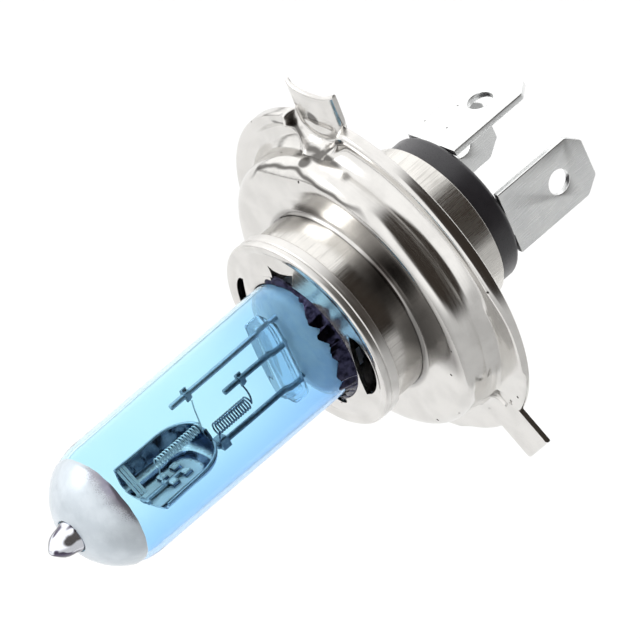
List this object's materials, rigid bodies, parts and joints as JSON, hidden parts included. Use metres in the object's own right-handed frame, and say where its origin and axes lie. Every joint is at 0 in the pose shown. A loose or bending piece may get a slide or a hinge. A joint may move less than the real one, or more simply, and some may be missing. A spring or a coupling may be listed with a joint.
{
  "type": "headlight bulb",
  "caption": "Twin-filament halogen headlight bulb with blue tinted glass, coated tip, three-lug prefocus flange and blade terminals.",
  "frame": {"origin": "centre of the reference plane, the plane of the side lugs' front faces, on the bulb's axis", "axes": "+Y along the bulb's axis towards the blade terminals, -Y towards the glass tip, +Z through the wide reference lug, +X to the right seen from the tip"},
  "size_m": [0.043, 0.0755, 0.0474],
  "materials": {
    "blue_glass": "clear, light blue tint",
    "clear_glass": "clear fused quartz",
    "tip_paint": "satin silver-white coating on the glass",
    "molybdenum": "dull drawn wire and strip",
    "tungsten": "fine coiled wire",
    "polished_shield": "polished stamped sheet",
    "spring_steel": "dark spring strip",
    "nickel_plate": "bright nickel plate with fine drawing marks",
    "tinned_blade": "satin tin plate",
    "black_insulator": "moulded, satin",
    "lead_wire": "nickel wire"
  },
  "bodies": {
    "root": {"glass_envelope": "blue_glass", "tip_coating": "tip_paint", "exhaust_tip": "clear_glass", "pinch_seal": "clear_glass", "foil_top": "molybdenum", "foil_middle": "molybdenum", "foil_bottom": "molybdenum", "dip_lead": "molybdenum", "main_lead": "molybdenum", "common_lead": "molybdenum", "bridge_bar_near": "clear_glass", "bridge_bar_far": "clear_glass", "dip_filament": "tungsten", "main_filament": "tungsten", "dip_shield": "polished_shield", "shield_bracket": "molybdenum", "shield_brace": "molybdenum", "dip_weld_tab": "molybdenum", "main_weld_tab": "molybdenum", "burner_clip": "spring_steel", "front_cap": "nickel_plate", "neck_sleeve": "nickel_plate", "prefocus_ring": "nickel_plate", "rear_shell": "nickel_plate", "insulator": "black_insulator", "terminal_top": "tinned_blade", "terminal_left": "tinned_blade", "terminal_right": "tinned_blade", "outer_lead_top": "lead_wire", "outer_lead_left": "lead_wire", "outer_lead_right": "lead_wire"}
  },
  "joints": []
}
